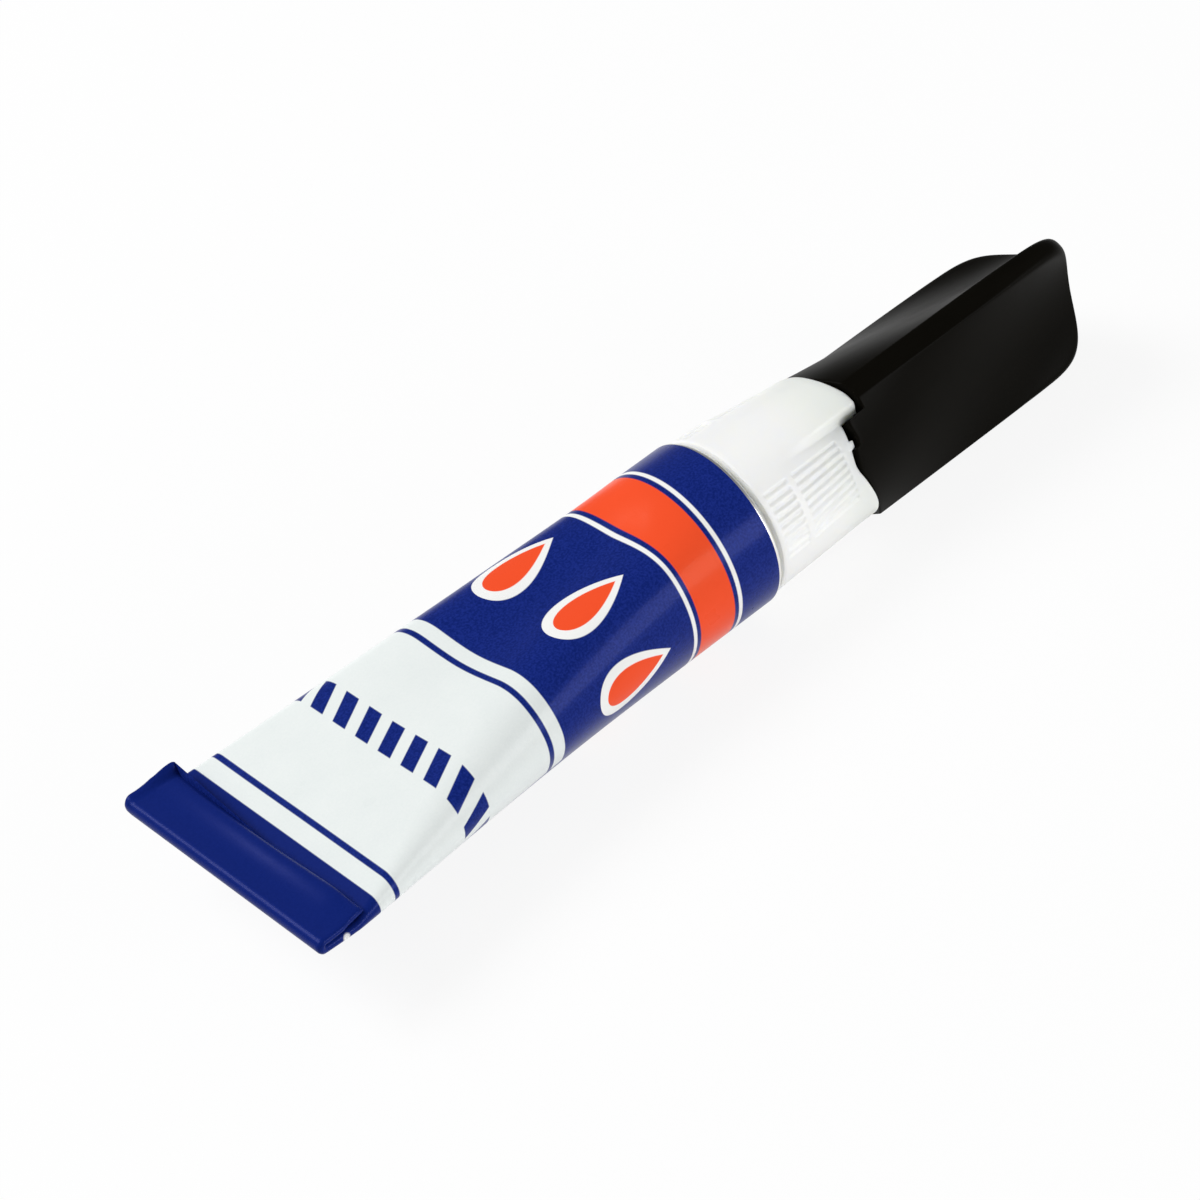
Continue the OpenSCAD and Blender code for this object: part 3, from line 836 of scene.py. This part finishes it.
# Print: stations of the fields' and stripes' edges, the girth at which the blue back starts, a worn spot,
# the red band between its pinstripes, the row of drops and the row of dashes
FIELD_EDGE = -22.33
FIELD_STRIPE = (-23.86, -23.41)
TAIL_STRIPE = (-39.0, -38.55)
TAIL_EDGE = -40.4
BACK_EDGE = 13.1
# Painted shade: how much of the light grain is taken off the folded tail's blue, drawing it darker
TAIL_PAINTED_SHADE = 0.8
WORN_AT = (GIRTH / 4, -43.6)
WORN_R = 0.28
RED_BAND = (-8.4, -4.8)
PIN_WIDTH = 0.35
PIN_GAP = 0.4
DROP_COUNT = 6
DROP_TIP = -11.4
DROP_LEN = 7.2
DROP_HALF_W = 2.1
DROP_FULLNESS = 2.6
DROP_BORDER = 0.75
DASH_ROW = (-32.2, -29.8)
DASH_COUNT = 18
DASH_SLANT = 0.45
DASH_SPAN = (0.2, 0.75)


def drop_mask(nodes, across, station, grow):
    """Row of plain teardrops with their tips towards the cap, each grown on all sides by a length."""
    length = DROP_LEN + 2 * grow
    from_tail = nodes.math("DIVIDE", nodes.math("SUBTRACT", station, DROP_TIP - DROP_LEN - grow), length)
    t = nodes.math("MINIMUM", nodes.math("MAXIMUM", from_tail, 0.0), 1.0)
    outline = nodes.math("MULTIPLY", nodes.math("SQRT", t), nodes.math("SUBTRACT", 1.0, t))
    width = nodes.math("MULTIPLY", outline, DROP_FULLNESS * (DROP_HALF_W + grow))
    return nodes.above(nodes.math("SUBTRACT", width, across), INK_SOFT, INK_SOFT)


def lacquer():
    """Print on the foil: blue and pearl fields, plain stripes, a red band, drops, dashes and a worn spot, and
    painted shade that deepens the blue on the folded tail.
    """
    nodes = Nodes("lacquered_print")
    uv = nodes.tree.nodes.new("ShaderNodeUVMap")
    uv.uv_map = "Print"
    split = nodes.add("SeparateXYZ", Vector=uv.outputs[0])
    girth = nodes.math("DIVIDE", split.outputs[0], PRINT_SCALE)
    station = nodes.math("DIVIDE", split.outputs[1], PRINT_SCALE)

    grain = nodes.noise(6.0, detail=2.0)
    cloud = nodes.noise(0.35, detail=3.0)
    pearl = nodes.mix(nodes.math("MULTIPLY", nodes.math("ADD", grain, cloud), 0.5), PEARL, PEARL_BRIGHT)

    front_field = nodes.above(station, FIELD_EDGE, INK_SOFT)
    tail_field = nodes.math("SUBTRACT", 1.0, nodes.above(station, TAIL_EDGE, INK_SOFT))
    # Light grain of the blue, and painted shade on the folded tail where most of that grain is taken away
    grain_and_tail_shade = nodes.math("MULTIPLY", nodes.above(grain, 0.5, 0.2),
                             nodes.math("SUBTRACT", 1.0, nodes.math("MULTIPLY", tail_field, TAIL_PAINTED_SHADE)))
    blue = nodes.mix(grain_and_tail_shade, DEEP_BLUE, BLUE)
    back_field = nodes.above(nodes.math("ABSOLUTE", girth), BACK_EDGE, INK_SOFT)
    ends = nodes.math("ADD", nodes.math("ADD", front_field, tail_field), back_field)
    lines = nodes.math("ADD", nodes.band(station, *FIELD_STRIPE, INK_SOFT),
                       nodes.band(station, *TAIL_STRIPE, INK_SOFT))
    dash_phase = nodes.math("FRACT", nodes.math("MULTIPLY", DASH_COUNT / GIRTH, nodes.math(
        "ADD", girth, nodes.math("MULTIPLY", station, DASH_SLANT))))
    dashes = nodes.math("MULTIPLY", nodes.band(station, *DASH_ROW, INK_SOFT),
                        nodes.band(dash_phase, *DASH_SPAN, INK_SOFT * DASH_COUNT / GIRTH))
    blue_share = nodes.math("MINIMUM", 1.0, nodes.math("ADD", ends, nodes.math("ADD", lines, dashes)))
    colour = nodes.mix(blue_share, pearl, blue)

    low, high = RED_BAND
    pins = nodes.math("ADD", nodes.band(station, low - PIN_GAP - PIN_WIDTH, low - PIN_GAP, INK_SOFT),
                      nodes.band(station, high + PIN_GAP, high + PIN_GAP + PIN_WIDTH, INK_SOFT))
    colour = nodes.mix(pins, colour, WHITE_INK)
    red_band = nodes.band(station, low, high, INK_SOFT)
    colour = nodes.mix(red_band, colour, RED_INK)

    pitch = GIRTH / DROP_COUNT
    cell = nodes.math("SUBTRACT", nodes.math("FRACT", nodes.math("DIVIDE", girth, pitch)), 0.5)
    across = nodes.math("MULTIPLY", nodes.math("ABSOLUTE", cell), pitch)
    squares = [nodes.math("POWER", nodes.math("SUBTRACT", value, middle), 2.0)
               for value, middle in zip((girth, station), WORN_AT)]
    from_spot = nodes.math("SQRT", nodes.math("ADD", *squares))
    worn = nodes.math("SUBTRACT", 1.0, nodes.above(from_spot, WORN_R, WORN_R / 3))
    colour = nodes.mix(worn, colour, BARE_METAL)
    drops = drop_mask(nodes, across, station, 0.0)
    colour = nodes.mix(drops, colour, WHITE_INK)
    red_drops = drop_mask(nodes, across, station, -DROP_BORDER)
    colour = nodes.mix(red_drops, colour, RED_INK)

    over = nodes.math("MAXIMUM", nodes.math("MAXIMUM", pins, red_band), drops)
    bare_blue = nodes.math("MULTIPLY", blue_share, nodes.math("SUBTRACT", 1.0, over))
    sheen = nodes.mix(bare_blue, (1, 1, 1, 1), BLUE_SHEEN)
    sheen = nodes.mix(nodes.math("MAXIMUM", red_band, red_drops), sheen, RED_SHEEN)
    nodes.set(Base_Color=colour, Roughness=nodes.ramp(cloud, 0.24, 0.34), Specular_IOR_Level=0.1,
              Specular_Tint=sheen, Coat_Weight=0.02, Coat_Roughness=0.1)
    nodes.bump(nodes.math("ADD", grain, nodes.math("MULTIPLY", cloud, 3.0)), 0.12, 0.05)
    return nodes.material


def bare_aluminium():
    """Bright drawn foil with fine turning marks and handling dulling."""
    nodes = Nodes("bare_aluminium")
    marks = nodes.noise(1.0, detail=3.0, stretch=(14, 1, 1))
    dull = nodes.noise(0.8, detail=4.0)
    nodes.set(Base_Color=nodes.mix(dull, (0.78, 0.78, 0.75, 1), (0.90, 0.90, 0.88, 1)), Metallic=1.0,
              Roughness=nodes.ramp(dull, 0.22, 0.42))
    nodes.bump(marks, 0.25, 0.03)
    return nodes.material


# Painted shade towards the spout, drawn as a darker plastic colour: how far behind the edge's low stretch,
# and how soft
PAINTED_SHADE_BEHIND = 1.5
PAINTED_SHADE_SOFT = 4.5


def white_plastic():
    """Translucent white moulding with a faint uneven flow, and painted shade that darkens it towards the
    spout.
    """
    nodes = Nodes("white_polyethylene")
    flow = nodes.noise(0.25, detail=2.0, stretch=(0.5, 1, 1))
    skin = nodes.noise(5.0, detail=3.0)
    coordinates = nodes.tree.nodes.new("ShaderNodeTexCoord")
    split = nodes.add("SeparateXYZ", Vector=coordinates.outputs["Object"])
    # Painted shade: share of the darker colour, rising towards the spout
    front = nodes.above(split.outputs[0], (SHOULDER_X + TROUGH - PAINTED_SHADE_BEHIND) * MM, PAINTED_SHADE_SOFT * MM)
    white = nodes.mix(flow, (0.97, 0.975, 0.93, 1), (0.99, 0.99, 0.95, 1))
    # The greyer colour mixed in at the front is painted shade, not the plastic's own tone
    nodes.set(Base_Color=nodes.mix(front, white, (0.80, 0.83, 0.78, 1)),
              Roughness=nodes.ramp(skin, 0.36, 0.5), Subsurface_Weight=0.6,
              Subsurface_Radius=(1.0, 0.95, 0.8), Subsurface_Scale=0.0012)
    nodes.bump(skin, 0.08, 0.04)
    return nodes.material


def black_plastic():
    """Satin black moulding with a fine spark-eroded skin and a few handling scuffs."""
    nodes = Nodes("black_polypropylene")
    skin = nodes.noise(7.0, detail=3.0)
    scuff = nodes.noise(0.5, detail=5.0, roughness=0.6, stretch=(0.3, 1, 1))
    nodes.set(Base_Color=nodes.mix(scuff, (0.0024, 0.0021, 0.0013, 1), (0.0048, 0.0042, 0.0030, 1)),
              Roughness=nodes.ramp(scuff, 0.34, 0.46), Specular_IOR_Level=0.021)
    nodes.bump(skin, 0.1, 0.04)
    return nodes.material


def drawn_steel():
    """Bright drawn wire with fine lines along its length."""
    nodes = Nodes("drawn_steel")
    lines = nodes.noise(2.0, detail=3.0, stretch=(0.2, 6, 6))
    nodes.set(Base_Color=nodes.mix(lines, (0.60, 0.60, 0.58, 1), (0.76, 0.76, 0.74, 1)), Metallic=1.0,
              Roughness=nodes.ramp(lines, 0.2, 0.36))
    nodes.bump(lines, 0.15, 0.02)
    return nodes.material


def latex():
    """Tan sealing latex with a pressed, uneven skin."""
    nodes = Nodes("seal_latex")
    grain = nodes.noise(2.5, detail=4.0)
    nodes.set(Base_Color=nodes.mix(grain, (0.50, 0.38, 0.22, 1), (0.62, 0.50, 0.32, 1)),
              Roughness=nodes.ramp(grain, 0.55, 0.75))
    nodes.bump(grain, 0.3, 0.05)
    return nodes.material


def clear_liquid():
    """Thin clear adhesive, very slightly yellow and clouded."""
    nodes = Nodes("liquid_adhesive")
    haze = nodes.noise(0.4, detail=2.0)
    nodes.set(Base_Color=nodes.mix(haze, (0.93, 0.91, 0.78, 1), (0.98, 0.97, 0.90, 1)),
              Roughness=nodes.ramp(haze, 0.03, 0.07), Transmission_Weight=0.9, IOR=1.45)
    return nodes.material


def dress_inner_nodes():
    """Finishes of the CAD pieces that show as they are."""
    finishes = {"cap_needle": drawn_steel, "fold_seal": latex}
    for node, finish in finishes.items():
        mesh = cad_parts[node].data
        mesh.materials.clear()
        mesh.materials.append(finish())


# Stage

FLOOR_SIZE = 3.0


def make_floor():
    """Plain pale floor that keeps the object's shadow and reads as white to the camera and to reflections."""
    bpy.ops.mesh.primitive_plane_add(size=FLOOR_SIZE)
    floor = bpy.context.object
    floor.name = "floor"
    nodes = Nodes("pale_floor")
    nodes.set(Base_Color=(0.88, 0.88, 0.88, 1), Roughness=0.9, Specular_IOR_Level=0.0)
    path = nodes.tree.nodes.new("ShaderNodeLightPath")
    seen = nodes.math("MAXIMUM", path.outputs["Is Camera Ray"], nodes.math(
        "MAXIMUM", path.outputs["Is Glossy Ray"], path.outputs["Is Transmission Ray"]))
    glow = nodes.add("Emission", Color=(1, 1, 1, 1), Strength=1.0)
    blend = nodes.tree.nodes.new("ShaderNodeMixShader")
    nodes.put(nodes.math("MULTIPLY", seen, 0.9), blend.inputs[0])
    nodes.put(nodes.shader.outputs[0], blend.inputs[1])
    nodes.put(glow.outputs[0], blend.inputs[2])
    nodes.put(blend.outputs[0], nodes.tree.nodes["Material Output"].inputs["Surface"])
    floor.data.materials.append(nodes.material)


def make_light(name, position, size, power):
    """Soft square lamp aimed at the object's middle."""
    data = bpy.data.lights.new(name, "AREA")
    data.size = size
    data.energy = power
    lamp = bpy.data.objects.new(name, data)
    lamp.location = position
    lamp.rotation_mode = "QUATERNION"
    lamp.rotation_quaternion = (Vector((0, 0, TUBE_R * MM)) - lamp.location).to_track_quat("-Z", "Y")
    bpy.context.scene.collection.objects.link(lamp)


def make_world():
    world = bpy.data.worlds.new("studio")
    world.use_nodes = True
    back = world.node_tree.nodes["Background"]
    back.inputs["Color"].default_value = (0.97, 0.98, 1.0, 1)
    back.inputs["Strength"].default_value = 0.22
    bpy.context.scene.world = world


# Camera fitted to the photograph: its place from the shoulder's middle, the picture's right and down, and
# the focal length in the picture's pixels
CAMERA_AT = (-133.822, -177.604, 188.550)
PICTURE_RIGHT = Vector((0.72695, -0.66836, -0.15759))
PICTURE_DOWN = Vector((-0.53664, -0.40976, -0.73764))
FOCAL_PIXELS = 4094
PICTURE_SIZE = 1200
SENSOR = 36.0


def make_camera():
    data = bpy.data.cameras.new("camera")
    data.sensor_width = SENSOR
    data.lens = FOCAL_PIXELS * SENSOR / PICTURE_SIZE
    data.clip_start = 0.01
    camera = bpy.data.objects.new("camera", data)
    right = PICTURE_RIGHT.normalized()
    back = right.cross(-PICTURE_DOWN).normalized()
    up = back.cross(right)
    turn = Matrix((right, up, back)).transposed()
    camera.matrix_world = Matrix.Translation(Vector(place(CAMERA_AT))) @ turn.to_4x4()
    bpy.context.scene.collection.objects.link(camera)
    bpy.context.scene.camera = camera


make_camera()
make_tube()
make_liquid()
make_nozzle()
make_cap()
dress_inner_nodes()
make_floor()
make_world()
make_light("key", (-0.30, 0.35, 0.55), 0.40, 5.0)
make_light("side", (0.215, -0.44, 0.114), 0.20, 1.4)
bpy.context.scene.view_settings.view_transform = "Standard"
